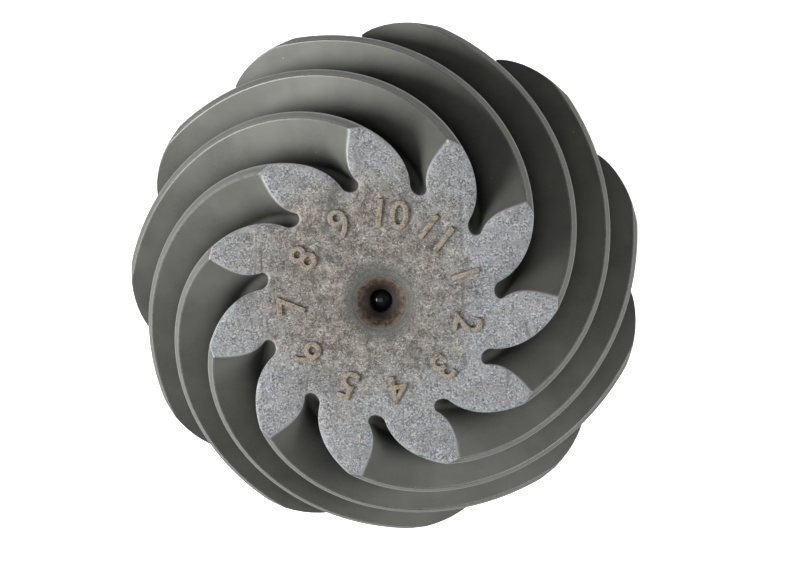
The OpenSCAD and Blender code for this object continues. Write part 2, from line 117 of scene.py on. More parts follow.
class FinishSettings(bpy.types.PropertyGroup):
    """Colours of the finishes"""
    flank: colour_prop("Tooth flank", "Phosphate coat of the tooth flanks", (0.104, 0.105, 0.093))
    toe: colour_prop("Toe face", "Blasted face at the small end", (0.286, 0.299, 0.309))
    toe_centre: colour_prop("Toe centre", "Handled middle of the small end", (0.236, 0.217, 0.191))
    rust: colour_prop("Rust", "Thin rust in the centre cone and round the numbers", (0.085, 0.052, 0.028))
    ground: colour_prop("Ground steel", "Ground journals and the washer", (0.50, 0.51, 0.52))
    casting: colour_prop("Yoke iron", "Dark scale on the forging of the yoke", (0.055, 0.056, 0.058))
    zinc: colour_prop("Zinc", "Yellow passivated zinc of the pressed parts and the nut", (0.48, 0.42, 0.26))


class StageSettings(bpy.types.PropertyGroup):
    """Floor, lights and camera"""
    camera_place: place_prop("Camera place", "Camera, from the middle of the toe face",
                             (13.15 * MM, 53.23 * MM, 418 * MM))
    camera_aim: place_prop("Camera aim", "Point looked at, from the middle of the toe face",
                           (3.337 * MM, 3.832 * MM, 0))
    lens: FloatProperty(
        name="Lens", description="Focal length in millimetres", default=110.85, min=10)
    key_power: FloatProperty(
        name="Light power", description="Power that each of the three soft lights is a share of",
        default=11.8, min=0, subtype="POWER", unit="POWER")
    sky: FloatProperty(
        name="Sky", description="Strength of the even light from all round", default=0.10, min=0)
    floor_size: length_prop("Floor size", "Width of the flat part of the pale floor", 4.0)


# ---------------------------------------------------------------- mesh helpers

def add_object(name, mesh):
    piece = bpy.data.objects.new(name, mesh)
    bpy.context.scene.collection.objects.link(piece)
    return piece


def mesh_from(name, points, faces):
    """Mesh from points in millimetres, an (n, 3) array, and faces."""
    mesh = bpy.data.meshes.new(name)
    mesh.from_pydata((np.asarray(points, float) * MM).tolist(), [], [list(map(int, f)) for f in faces])
    mesh.update()
    return mesh


def tidy(mesh, merge=0.002 * MM, outward=True):
    """Merges doubles, drops loose points and turns the faces outwards."""
    work = bmesh.new()
    work.from_mesh(mesh)
    bmesh.ops.remove_doubles(work, verts=work.verts, dist=merge)
    bmesh.ops.dissolve_degenerate(work, edges=work.edges, dist=merge / 4)
    loose = [v for v in work.verts if not v.link_faces]
    bmesh.ops.delete(work, geom=loose, context="VERTS")
    if outward:
        bmesh.ops.recalc_face_normals(work, faces=work.faces)
    work.to_mesh(mesh)
    work.free()


def smooth_by_angle(mesh, degrees):
    """Smooth shading with sharp edges where two faces meet at more than an angle."""
    mesh.shade_smooth()
    work = bmesh.new()
    work.from_mesh(mesh)
    for edge in work.edges:
        edge.smooth = edge.is_manifold and edge.calc_face_angle(math.pi) < math.radians(degrees)
    work.to_mesh(mesh)
    work.free()


def grid_faces(rows, columns, wrap=False):
    """Quads between rows of points; wrap joins the last column to the first."""
    faces = []
    for r in range(rows - 1):
        for c in range(columns if wrap else columns - 1):
            d = (c + 1) % columns
            faces.append((r * columns + c, r * columns + d, (r + 1) * columns + d, (r + 1) * columns + c))
    return faces


def revolved(name, profile, segments):
    """Surface of revolution from [radius, height] points in millimetres, which may touch the axis."""
    turns = np.arange(segments) * 2 * math.pi / segments
    points, rows = [], []
    for radius, height in profile:
        if radius < 1e-6:
            rows.append([len(points)] * segments)
            points.append((0, 0, height))
        else:
            rows.append(list(range(len(points), len(points) + segments)))
            points.extend((radius * math.cos(t), radius * math.sin(t), height) for t in turns)
    faces = []
    for low, high in zip(rows, rows[1:]):
        for c in range(segments):
            d = (c + 1) % segments
            corners = list(dict.fromkeys((low[c], low[d], high[d], high[c])))
            if len(corners) > 2:
                faces.append(corners)
    mesh = mesh_from(name, points, faces)
    tidy(mesh)
    return mesh


def joined(name, meshes):
    """One mesh out of several."""
    work = bmesh.new()
    for mesh in meshes:
        work.from_mesh(mesh)
    result = bpy.data.meshes.new(name)
    work.to_mesh(result)
    work.free()
    return result


def cad_copy(node):
    """A welded copy of a CAD node's mesh."""
    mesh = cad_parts[node].data.copy()
    mesh.materials.clear()
    tidy(mesh, merge=0.004 * MM, outward=False)
    return mesh


def dress(piece, body, slot, material, *nodes):
    """Gives a finished piece its material, its body and the CAD nodes that it stands for."""
    if material is not None:
        piece.data.materials.clear()
        piece.data.materials.append(material)
    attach(piece, body)
    if nodes:
        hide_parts(*nodes)
    return piece


# ---------------------------------------------------------------- node graphs

class Socket:
    """An output of a node. Python's operators on it add Math nodes."""

    def __init__(self, graph, link):
        self.graph = graph
        self.link = link

    def maths(self, operation, *values):
        return self.graph.node("ShaderNodeMath", {"operation": operation}, dict(enumerate(values)))

    def __abs__(self):
        return self.maths("ABSOLUTE", self)

    def __add__(self, other):
        return self.maths("ADD", self, other)

    def __sub__(self, other):
        return self.maths("SUBTRACT", self, other)

    def __mul__(self, other):
        return self.maths("MULTIPLY", self, other)

    def __truediv__(self, other):
        return self.maths("DIVIDE", self, other)

    def __pow__(self, other):
        return self.maths("POWER", self, other)

    def __radd__(self, other):
        return self.maths("ADD", other, self)

    def __rsub__(self, other):
        return self.maths("SUBTRACT", other, self)

    def __rmul__(self, other):
        return self.maths("MULTIPLY", other, self)

    def __rtruediv__(self, other):
        return self.maths("DIVIDE", other, self)


class Graph:
    """A node tree that is filled by one method."""

    def __init__(self, tree):
        self.tree = tree

    def node(self, kind, settings=None, inputs=None, output=0):
        node = self.tree.nodes.new(kind)
        for key, value in (settings or {}).items():
            setattr(node, key, value)
        for key, value in (inputs or {}).items():
            socket = node.inputs[key]
            if isinstance(value, Socket):
                self.tree.links.new(value.link, socket)
            elif socket.type == "RGBA" and len(value) == 3:
                socket.default_value = (*value, 1)
            else:
                socket.default_value = value
        return Socket(self, node.outputs[output]) if len(node.outputs) else None


class Surface(Graph):
    """A material in the making. Sizes of patterns are in millimetres."""

    def __init__(self, name):
        self.material = bpy.data.materials.new(name)
        self.material.use_nodes = True
        super().__init__(self.material.node_tree)
        self.tree.nodes.clear()
        self.place = self.node("ShaderNodeTexCoord", output="Object")

    def axis(self, output):
        return self.node("ShaderNodeSeparateXYZ", {}, {0: self.place}, output)

    def radius(self):
        flat = self.node("ShaderNodeVectorMath", {"operation": "MULTIPLY"}, {0: self.place, 1: (1, 1, 0)})
        return self.node("ShaderNodeVectorMath", {"operation": "LENGTH"}, {0: flat}, "Value")

    def attribute(self, name):
        return self.node("ShaderNodeAttribute", {"attribute_name": name}, {}, "Fac")

    def stretched(self, factors):
        return self.node("ShaderNodeVectorMath", {"operation": "MULTIPLY"}, {0: self.place, 1: factors})

    def noise(self, size, detail=3.0, roughness=0.55, vector=None):
        return self.node("ShaderNodeTexNoise", {}, {
            "Vector": vector or self.place, "Scale": 1 / (size * MM), "Detail": detail,
            "Roughness": roughness}, "Fac")

    def rings(self, size):
        """Fine turned rings round the Z axis."""
        across = self.node("ShaderNodeCombineXYZ", {}, {"X": self.radius(), "Y": self.axis("Z")})
        return self.noise(size, 2.0, 0.5, across)

    def between(self, value, low, high, start=0.0, end=1.0):
        """value as it goes from low to high, eased, as a number from start to end."""
        return self.node("ShaderNodeMapRange", {"interpolation_type": "SMOOTHSTEP"}, {
            "Value": value, "From Min": low, "From Max": high, "To Min": start, "To Max": end})

    def specks(self, spacing, size, share):
        """Sparse round specks: 1 on a speck, and a share of the cells have one."""
        cell = {"Vector": self.place, "Scale": 1 / (spacing * MM), "Randomness": 1.0}
        distance = self.node("ShaderNodeTexVoronoi", {}, cell, "Distance")
        colour = self.node("ShaderNodeTexVoronoi", {}, cell, "Color")
        chance = self.node("ShaderNodeSeparateColor", {}, {0: colour}, 0)
        chosen = self.between(chance, share, share * 0.9)
        return chosen * self.between(distance, size / spacing, size / spacing * 0.5)

    def scratches(self, spacing, width, angle, share):
        """Thin straight scratches in the XY plane, at an angle."""
        turned = self.node("ShaderNodeMapping", {}, {"Vector": self.place, "Rotation": (0, 0, angle),
                                                     "Scale": (1, 0.06, 1)})
        cell = {"Vector": turned, "Scale": 1 / (spacing * MM), "Randomness": 1.0}
        distance = self.node("ShaderNodeTexVoronoi", {"feature": "DISTANCE_TO_EDGE"}, cell, "Distance")
        return self.between(distance, width / spacing, 0) * self.between(self.noise(6.0), share, share + 0.04)

    def mix(self, factor, a, b, blend="MIX"):
        return self.node("ShaderNodeMix", {"data_type": "RGBA", "blend_type": blend},
                         {0: factor, 6: a, 7: b}, 2)

    def bump(self, height, distance, strength):
        return self.node("ShaderNodeBump", {}, {
            "Height": height, "Distance": distance * MM, "Strength": strength})

    def finish(self, **inputs):
        """Ends the material: keywords are the shader's sockets, with _ for a space."""
        names = {key.replace("_", " "): value for key, value in inputs.items()}
        shader = self.node("ShaderNodeBsdfPrincipled", {}, names)
        self.node("ShaderNodeOutputMaterial", {}, {"Surface": shader})
        return self.material


def shade(colour, factor):
    """A colour made lighter or darker."""
    return tuple(min(1.0, c * factor) for c in colour)


def head_steel(finish):
    """Phosphated flanks and a blasted toe face, tan where it was handled, with a rusty centre. Painted shade
    darkens the tooth spaces and the centre hole, and painted highlights, with some edge wear, run along the
    edges.
    """
    s = Surface("forged_head_steel")
    toe, groove, edge, land = (s.attribute(n) for n in ("toe", "groove", "edge", "land"))
    radius = s.radius()
    cloud = s.noise(9.0, 2.0)
    fine = s.noise(0.55, 4.0, 0.7)
    grain = s.noise(0.34, 4.0, 0.85)

    flank = s.mix(s.between(cloud, 0.35, 0.68), shade(finish.flank, 0.86), shade(finish.flank, 1.12))
    flank = s.mix(s.between(fine, 0.35, 0.75) * 0.35, flank, shade(finish.flank, 1.35))
    # painted shade: the flanks get darker towards the bottom of the tooth spaces
    flank = s.mix(s.between(groove, 0.25, 1.0) * 0.72, flank, shade(finish.flank, 0.28))
    flank = s.mix(land * 0.60, flank, (0.112, 0.105, 0.091))
    # lighter along the land edges, broken up by noise: partly edge wear, partly a painted highlight
    flank = s.mix(edge * s.between(fine, 0.25, 0.6) * 0.6, flank, (0.21, 0.215, 0.21))
    flank = s.mix(s.specks(1.9, 0.10, 0.045), flank, (0.62, 0.62, 0.58))

    handled = s.node("ShaderNodeVectorMath", {"operation": "DISTANCE"}, {
        0: s.stretched((1, 1, 0)), 1: (-4 * MM, 3 * MM, 0)}, "Value")
    worn = s.between(handled + (s.noise(7.0, 4.0, 0.65) - 0.5) * 0.026, 0.0260, 0.0115)
    face = s.mix(worn, finish.toe, finish.toe_centre)
    patches = s.noise(1.7, 5.0, 0.75)
    face = s.mix(s.between(patches, 0.50, 0.62) * (0.22 + worn * 0.7), face, shade(finish.toe_centre, 0.50))
    face = s.mix(s.between(patches, 0.48, 0.38) * (0.25 + worn * 0.4), face, (0.38, 0.365, 0.32))
    face = s.mix(s.between(cloud, 0.40, 0.64) * 0.22, face, (0.13, 0.135, 0.14))
    strength = s.between(s.noise(1.1, 3.0, 0.6), 0.38, 0.62, 0.35, 1.0)
    dark = s.mix(strength, face, s.mix(1.0, face, (0.42, 0.42, 0.43), "MULTIPLY"))
    pale = s.mix(strength, face, s.mix(1.0, face, (1.75, 1.75, 1.77), "MULTIPLY"))
    face = s.mix(s.between(grain, 0.44, 0.60), dark, pale)
    face = s.mix(s.between(s.noise(0.55, 3.0, 0.65), 0.54, 0.68) * (0.22 + worn * 0.55), face,
                 (0.115, 0.088, 0.062))
    face = s.mix(s.between(s.noise(0.7, 3.0, 0.7), 0.58, 0.70) * 0.45, face, (0.50, 0.51, 0.51))
    face = s.mix(s.specks(0.75, 0.17, 0.08), face, (0.50, 0.52, 0.54))
    marks = s.scratches(11.0, 0.16, 1.2, 0.53) + s.scratches(13.0, 0.18, -0.75, 0.53)
    face = s.mix(marks * 0.6, face, (0.10, 0.10, 0.095))

    turned = s.rings(0.12)
    crust = s.noise(0.9, 4.0, 0.7)
    ragged = radius + (crust - 0.5) * 0.0016
    cone = s.between(ragged, 0.0047, 0.0038)
    dish = s.between(ragged, 0.0082, 0.0046)
    face = s.mix(dish * 0.88, face, s.mix(s.between(turned, 0.3, 0.7), (0.066, 0.069, 0.062),
                                          (0.122, 0.124, 0.110)))
    face = s.mix(cone, face, s.mix(s.between(crust, 0.38, 0.62), shade(finish.rust, 0.42),
                                   shade(finish.rust, 1.35)))
    # dark rust and painted shade: near-black from the rust cone down into the centre hole
    face = s.mix(s.between(ragged, 0.0041, 0.0025), face, (0.013, 0.009, 0.007))
    # painted shade: the centre hole itself is near-black
    face = s.mix(s.between(radius, 0.00212, 0.00195), face, (0.010, 0.010, 0.012))

    # painted highlight: a light line on the chamfered edges of the toe face
    face = s.mix(edge * 0.8, face, (0.46, 0.47, 0.48))
    colour = s.mix(toe, flank, face)
    hole = s.between(radius, 0.00205, 0.0019)
    rough = 0.60 + toe * 0.12 - edge * 0.12 + (fine - 0.5) * 0.25 - hole * 0.55
    height = grain * (0.25 + toe * 0.75) + fine * 0.8 * toe + cone * turned * 0.8
    normal = s.bump(height * (1 - hole), 0.045, 0.55)
    return s.finish(Base_Color=colour, Roughness=rough, Metallic=0.35 + edge * 0.3 - cone * 0.3,
                    Normal=normal)


def number_steel(finish):
    """Raised numbers: tan tops with rust blotches and specks, and darker rust-brown sides, which are partly
    painted shade.
    """
    s = Surface("raised_number_steel")
    height = s.axis("Z")
    grain = s.noise(0.22, 3.0, 0.65)
    blotch = s.noise(0.8, 2.0, 0.6)
    top = s.mix(s.between(grain, 0.4, 0.62), (0.185, 0.155, 0.115), (0.36, 0.325, 0.26))
    top = s.mix(s.between(blotch, 0.52, 0.66) * 0.7, top, shade(finish.rust, 1.35))
    # the sides below the tops are painted dark rust-brown: partly rust, partly painted shade
    colour = s.mix(s.between(height, TOE_Z + 0.47 * MM, TOE_Z + 0.30 * MM), top, shade(finish.rust, 0.62))
    return s.finish(Base_Color=colour, Roughness=0.62 + grain * 0.2, Metallic=0.15,
                    Normal=s.bump(grain, 0.05, 0.6))


def turned_steel(name, colour, lines, rough=0.28):
    """Turned or ground steel: fine rings round the axis, and faint stains."""
    s = Surface(name)
    rings = s.rings(lines)
    cloud = s.noise(5.0, 3.0, 0.6)
    fine = s.noise(0.5, 3.0, 0.6)
    tone = s.mix(s.between(cloud, 0.35, 0.7), shade(colour, 0.75), shade(colour, 1.05))
    tone = s.mix(s.between(rings, 0.4, 0.65) * 0.30, tone, shade(colour, 0.70))
    tone = s.mix(s.between(fine, 0.60, 0.75) * 0.35, tone, shade(colour, 0.45))
    return s.finish(Base_Color=tone, Roughness=rough + rings * 0.18 + (cloud - 0.5) * 0.15,
                    Metallic=0.95, Normal=s.bump(rings, 0.012, 0.5))


def bearing_steel(name, colour):
    """Hardened bearing steel, finely ground, with a film of oil that gathers in places."""
    s = Surface(name)
    rings = s.rings(0.07)
    film = s.noise(14.0, 2.0, 0.5)
    tone = s.mix(s.between(film, 0.4, 0.75) * 0.22, colour, (0.36, 0.34, 0.29))
    tone = s.mix(s.between(rings, 0.35, 0.7) * 0.22, tone, shade(colour, 0.6))
    return s.finish(Base_Color=tone, Roughness=0.20 + rings * 0.12 + film * 0.06, Metallic=1.0,
                    Coat_Weight=s.between(film, 0.45, 0.65, 0.0, 0.25), Normal=s.bump(rings, 0.006, 0.4))


def pressed_steel(name, colour, metallic=0.75, rough=0.42):
    """Pressed sheet steel: drawn streaks along the axis, dull patches and small nicks."""
    s = Surface(name)
    streaks = s.noise(1.0, 3.0, 0.6, s.stretched((1.6, 1.6, 0.15)))
    patch = s.noise(14.0, 2.0, 0.5)
    nick = s.specks(2.6, 0.22, 0.10)
    tone = s.mix(s.between(patch, 0.35, 0.7), shade(colour, 0.86), shade(colour, 1.06))
    tone = s.mix(s.between(streaks, 0.45, 0.7) * 0.30, tone, shade(colour, 0.6))
    tone = s.mix(nick * 0.7, tone, (0.5, 0.5, 0.5))
    return s.finish(Base_Color=tone, Roughness=rough + (patch - 0.5) * 0.25, Metallic=metallic,
                    Normal=s.bump(streaks - nick * 2.0, 0.020, 0.5))


def zinc_plate(name, colour):
    """Yellow passivated zinc, whose tint drifts towards green and pink."""
    s = Surface(name)
    drift = s.noise(7.0, 2.0, 0.5)
    spangle = s.noise(0.8, 3.0, 0.6)
    tone = s.mix(s.between(drift, 0.35, 0.55), (0.40, 0.44, 0.28), colour)
    tone = s.mix(s.between(drift, 0.52, 0.70) * 0.7, tone, (0.50, 0.36, 0.27))
    tone = s.mix(s.between(spangle, 0.5, 0.7) * 0.35, tone, shade(colour, 0.62))
    return s.finish(Base_Color=tone, Roughness=0.30 + spangle * 0.22, Metallic=0.85,
                    Normal=s.bump(spangle, 0.015, 0.4))


def rubber(name):
    """Moulded nitrile rubber: dull black with a dusty bloom."""
    s = Surface(name)
    bloom = s.noise(3.0, 4.0, 0.65)
    pore = s.noise(0.25, 2.0, 0.5)
    tone = s.mix(s.between(bloom, 0.45, 0.75), (0.012, 0.012, 0.013), (0.040, 0.039, 0.037))
    return s.finish(Base_Color=tone, Roughness=0.62 + bloom * 0.25, Metallic=0.0,
                    Normal=s.bump(pore, 0.02, 0.5))


def yoke_iron(colour, cap_radius, seat_end, hub_radius, hub_low):
    """Forged yoke with dark scale, and bright metal where it is machined: the cap seats, the
    pads and the ground hub that the seal runs on."""
    s = Surface("yoke_iron")
    scale = s.noise(1.6, 5.0, 0.68)
    coarse = s.noise(7.0, 3.0, 0.6)
    y, z = s.axis("Y"), s.axis("Z")
    from_seat = (y * y + z * z) ** 0.5
    across = abs(s.axis("X"))
    seat = s.between(from_seat, cap_radius + 0.30 * MM, cap_radius + 0.12 * MM) * s.between(
        across, seat_end + 0.30 * MM, seat_end + 0.12 * MM)
    pad = s.between(z, 0.25 * MM, 0.10 * MM)
    hub = s.between(s.radius(), hub_radius + 0.15 * MM, hub_radius + 0.05 * MM) * s.between(
        z, hub_low, hub_low + 0.4 * MM)
    bright = s.node("ShaderNodeClamp", {}, {0: seat + pad + hub})
    skin = s.mix(s.between(coarse, 0.35, 0.7), shade(colour, 0.75), shade(colour, 1.30))
    skin = s.mix(s.between(scale, 0.50, 0.66) * 0.55, skin, shade(colour, 2.3))
    skin = s.mix(s.between(s.noise(2.4, 4.0, 0.7), 0.60, 0.74) * 0.6, skin, (0.110, 0.062, 0.035))
    rings = s.rings(0.16)
    metal = s.mix(s.between(rings, 0.35, 0.7), (0.42, 0.42, 0.41), (0.58, 0.58, 0.57))
    height = scale * (1 - bright) + rings * bright * 0.12
    return s.finish(Base_Color=s.mix(bright, skin, metal), Roughness=0.62 - bright * 0.34 + scale * 0.12,
                    Metallic=0.35 + bright * 0.6, Normal=s.bump(height, 0.16, 0.55))


# ---------------------------------------------------------------- repeats

def ring_of(piece, count, material, merge=0.0):
    """Repeats a piece round the Z axis with Geometry Nodes, and makes the result its plain mesh."""
    tree = bpy.data.node_groups.new("ring_of_" + piece.name, "GeometryNodeTree")
    sockets = {}
    for label, kind in (("Geometry", "Geometry"), ("Count", "Int"), ("Merge distance", "Float"),
                        ("Material", "Material")):
        sockets[label] = tree.interface.new_socket(label, in_out="INPUT", socket_type="NodeSocket" + kind)
    tree.interface.new_socket("Geometry", in_out="OUTPUT", socket_type="NodeSocketGeometry")
    g = Graph(tree)
    source = tree.nodes.new("NodeGroupInput")
    geometry, number, distance, finish = (Socket(g, source.outputs[k]) for k in range(4))
    points = g.node("GeometryNodePoints", {}, {"Count": number})
    index = g.node("GeometryNodeInputIndex")
    turn = g.node("ShaderNodeCombineXYZ", {}, {"Z": index * (2 * math.pi) / number})
    rotation = g.node("FunctionNodeEulerToRotation", {}, {0: turn})
    copies = g.node("GeometryNodeInstanceOnPoints", {}, {
        "Points": points, "Instance": geometry, "Rotation": rotation})
    real = g.node("GeometryNodeRealizeInstances", {}, {0: copies})
    welded = g.node("GeometryNodeMergeByDistance", {}, {"Geometry": real, "Distance": distance})
    coated = g.node("GeometryNodeSetMaterial", {}, {"Geometry": welded, "Material": finish})
    g.node("NodeGroupOutput", {}, {"Geometry": coated})
    modifier = piece.modifiers.new("Ring", "NODES")
    modifier.node_group = tree
    modifier[sockets["Count"].identifier] = count
    modifier[sockets["Merge distance"].identifier] = merge
    modifier[sockets["Material"].identifier] = material
    made_plain(piece)


def made_plain(piece):
    """Replaces a piece's mesh with its evaluated one, and removes its modifiers."""
    bpy.context.view_layer.update()
    evaluated = piece.evaluated_get(bpy.context.evaluated_depsgraph_get())
    mesh = bpy.data.meshes.new_from_object(evaluated)
    piece.modifiers.clear()
    piece.data = mesh
    mesh.name = piece.name


# ---------------------------------------------------------------- gear head

FOOT = 0.88               # depth, as a share of the whole, where the round root starts
CONCAVE_SWELL = math.radians(13.3)
CONCAVE_TUCK = math.radians(10.2)
CONVEX_SWELL = math.radians(14.8)
FACE_LOOPS = 54
CROWN_LOOPS = 10
FLANK_STEPS = 15
ROOT_STEPS = 7            # on each half of a root
LAND_STEPS = 3
ROUND_STEPS = 4


DIGIT_SHARE = 0.73        # height of a digit as a share of the size of the type
NUMBER_LAG = 0.35         # share of the pitch from a tooth to its number
NUMBER_LIFT = 0.12        # mm from the toe face to the middle of a number's thickness


class ToothLaw:
    """Where the surface of the first tooth is. All lengths here are in millimetres."""

    def __init__(self, gear):
        self.teeth = gear.teeth
        self.pitch = 2 * math.pi / gear.teeth
        self.length = gear.tooth_length / MM
        self.depth = gear.tooth_depth / MM
        self.land = gear.land_width / MM
        self.crown = gear.crown_radius / MM
        self.edge = gear.edge_radius / MM
        self.cone = gear.face_angle
        self.start = gear.first_tooth
        self.heel_r = gear.heel_diameter / 2 / MM
        self.toe_r = self.heel_r - self.length * math.tan(self.cone)
        self.back = self.length + 0.8 * self.crown
        self.toe_rate = math.tan(gear.toe_spiral) / (self.toe_r * math.cos(self.cone))
        self.heel_rate = math.tan(gear.heel_spiral) / (self.heel_r * math.cos(self.cone))

    def face_r(self, d):
        return self.toe_r + d * math.tan(self.cone)

    def twist(self, d):
        return self.toe_rate * d + (self.heel_rate - self.toe_rate) / (2 * self.length) * d * d

    def top(self, d):
        """Share of the depth by which the rounded crown is below the face cone."""
        if d <= self.length:
            return 0.0
        past = d - self.length
        drop = self.crown - math.sqrt(self.crown ** 2 - past ** 2) + past * math.tan(self.cone)
        return drop / self.depth

    def land_angle(self, d):
        rate = self.toe_rate + (self.heel_rate - self.toe_rate) * min(d / self.length, 1)
        spiral = math.atan(rate * self.face_r(d) * math.cos(self.cone))
        return self.land / (self.face_r(d) * math.cos(spiral))

    def concave(self, d, u):
        return self.land_angle(d) + CONCAVE_SWELL * u - CONCAVE_TUCK * u ** 4

    @staticmethod
    def convex(u):
        return -CONVEX_SWELL * u * (2 - u)

    def point(self, d, u, side):
        lag = u * self.depth * math.cos(self.cone) * math.sin(self.cone)
        angle = self.start + self.twist(d - lag) + side
        radius = self.face_r(d) - u * self.depth
        return np.array((radius * math.cos(angle), radius * math.sin(angle), TOE_Z / MM - d))

    def outline(self, d):
        """Points of one tooth from the middle of one root to the middle of the next, and for
        each its groove depth, its nearness to a land edge, and whether it is on the land."""
        top = self.top(d)
        shares = top + (FOOT - top) * np.linspace(1, 0, FLANK_STEPS + 1) ** 1.25
        foot_a, foot_b = self.concave(d, FOOT), self.pitch + self.convex(FOOT)
        half, middle = (foot_b - foot_a) / 2, (foot_a + foot_b) / 2
        cut = top + self.edge / self.depth
        land, land_start = self.concave(d, top), self.convex(top)
        land_cut = self.edge / self.land * (land - land_start)
        rows = []
        for q in np.linspace(math.pi / 2, math.pi, ROOT_STEPS + 1)[:-1]:
            u = FOOT + (1 - FOOT) * math.sin(q)
            rows.append((self.point(d, u, middle - half * math.cos(q) - self.pitch), u, 0, 0))
        for u in np.clip(shares[:-1], cut * 1.02, 1):
            rows.append((self.point(d, u, self.convex(u)), u, 0, 0))
        a, corner, b = (self.point(d, cut, self.convex(cut)), self.point(d, top, land_start),
                        self.point(d, top, land_start + land_cut))
        rows += [(p, top, 1, 0.5) for p in bend(a, corner, b)]
        for t in np.linspace(0, 1, LAND_STEPS + 2)[1:-1]:
            side = land_start + land_cut + t * (land - land_start - 2 * land_cut)
            rows.append((self.point(d, top, side), top, 0, 1))
        a, corner, b = (self.point(d, top, land - land_cut), self.point(d, top, land),
                        self.point(d, cut, self.concave(d, cut)))
        rows += [(p, top, 1, 0.5) for p in bend(a, corner, b)]
        for u in np.clip(shares[:-1], cut * 1.02, 1)[::-1]:
            rows.append((self.point(d, u, self.concave(d, u)), u, 0, 0))
        for q in np.linspace(0, math.pi / 2, ROOT_STEPS + 1)[1:]:
            u = FOOT + (1 - FOOT) * math.sin(q)
            rows.append((self.point(d, u, middle - half * math.cos(q)), u, 0, 0))
        return np.array([r[0] for r in rows]), np.array([r[1:] for r in rows], float)


def bend(a, corner, b):
    """Points along a rounded corner."""
    return [(1 - t) ** 2 * a + 2 * t * (1 - t) * corner + t * t * b
            for t in np.linspace(0, 1, ROUND_STEPS + 1)]


def inset(outline, amounts):
    """The outline moved into the metal in its own plane, by an amount for each point."""
    along = np.gradient(outline[:, :2], axis=0)
    along /= np.maximum(np.linalg.norm(along, axis=1, keepdims=True), 1e-9)
    inward = np.stack((-along[:, 1], along[:, 0]), axis=1)
    result = outline.copy()
    result[:, :2] += inward * amounts[:, None]
    return result


class Sector:
    """Collects the points, faces and point values of one tooth's share of the head."""

    def __init__(self):
        self.points, self.values, self.faces = [], [], []

    def add(self, points, values):
        """Adds a row of points, whose values are (groove, edge, land, toe). Returns their numbers."""
        first = len(self.points)
        self.points.extend(np.asarray(points).tolist())
        self.values.extend(np.asarray(values, float).tolist())
        return list(range(first, len(self.points)))

    def bridge(self, low, high):
        for k in range(len(low) - 1):
            self.faces.append((low[k], low[k + 1], high[k + 1], high[k]))

    def mesh(self, name):
        mesh = mesh_from(name, self.points, self.faces)
        values = np.array(self.values)
        for k, label in enumerate(("groove", "edge", "land", "toe")):
            layer = mesh.attributes.new(label, "FLOAT", "POINT")
            layer.data.foreach_set("value", values[:, k].astype(np.float32))
        return mesh


def end_cap(sector, law, outline, toe, radii, heights):
    """Closes an end of the head: a ladder of faces across the tooth, then circles to the axis."""
    count = len(outline)
    z = outline[0][2]
    value = (0.0 if toe else 0.6, 0, 0, toe)
    ladder = None
    across = np.linspace(0, 1, 7)[:, None]
    for k in range(ROOT_STEPS, count // 2):
        left, right = outline[k], outline[count - 1 - k]
        row = sector.add(left + (right - left) * across, [value] * 7)
        if ladder is not None:
            sector.bridge(ladder, row)
        else:
            foot = np.array([left + (right - left) * t for t in across])
        ladder = row
    inner = np.concatenate((outline[:ROOT_STEPS], foot, outline[count - ROOT_STEPS:]))
    above = sector.add(inner, [value] * len(inner))
    angles = np.unwrap(np.arctan2(inner[:, 1], inner[:, 0]))
    even = np.linspace(angles[0], angles[0] + law.pitch, len(inner))
    for k, (radius, height) in enumerate(zip(radii, heights)):
        share = min(1.0, (k + 1) / 4)
        turned = angles * (1 - share) + even * share
        turned[-1] = turned[0] + law.pitch
        ring = np.stack((radius * np.cos(turned), radius * np.sin(turned),
                         np.full(len(inner), z + height)), axis=1)
        row = sector.add(ring, [value] * len(inner))
        sector.bridge(above, row)
        above = row


TOE_PROFILE = (
    (19.0, 0.0), (17.0, 0.0), (14.5, 0.0), (12.0, 0.0), (9.5, 0.0), (7.6, 0.0), (6.8, -0.03),
    (6.2, -0.11), (5.6, -0.24), (5.0, -0.38), (4.5, -0.50), (4.15, -0.60), (3.95, -0.68), (3.8, -0.82),
    (3.3, -1.35), (2.7, -2.0), (2.2, -2.52), (2.03, -2.72), (1.98, -2.9), (1.98, -3.6), (1.98, -4.4),
    (1.80, -4.5), (1.5, -4.12), (1.15, -3.84), (0.8, -3.67), (0.4, -3.57), (0.0005, -3.54))
BACK_PROFILE = ((35.0, 0.3), (31.0, 0.7), (29.0, 0.7), (15.0, 1.0), (0.0005, 1.0))


def head_mesh(law):
    """One tooth's share of the head, from root to root and from the axis to the axis."""
    sector = Sector()
    full, values = law.outline(0.0)
    groove = values[:, 0]
    on_concave = np.arange(len(full)) > len(full) // 2
    chamfer = np.where(on_concave, 0.16 + 0.55 * np.clip(1 - groove / 0.7, 0, 1) ** 1.5, 0.14)
    chamfer[values[:, 2] > 0] = 0.18
    face = inset(full, chamfer)
    middle = inset(full, chamfer * 0.35)
    middle[:, 2] -= 0.06
    toe_values = np.column_stack((groove * 0, np.ones(len(full)) * 0.4, groove * 0, np.ones(len(full))))
    rim = sector.add(face, toe_values)
    row = sector.add(middle, np.column_stack((groove * 0.3, np.full(len(full), 0.8), values[:, 2] * 0.3,
                                              np.full(len(full), 0.75))))
    sector.bridge(rim, row)
    rim = row
    depths = np.concatenate(([0.22], np.linspace(0, law.length, FACE_LOOPS + 1)[1:],
                             law.length + (law.back - law.length) * np.sin(
                                 np.linspace(0, math.pi / 2, CROWN_LOOPS + 1)[1:])))
    for d in depths:
        outline, values = law.outline(d)
        row = sector.add(outline, np.column_stack((values, np.zeros(len(outline)))))
        sector.bridge(rim, row)
        rim = row
    end_cap(sector, law, face, 1.0, *zip(*TOE_PROFILE))
    end_cap(sector, law, outline, 0.0, *zip(*BACK_PROFILE))
    return sector.mesh("gear_head")


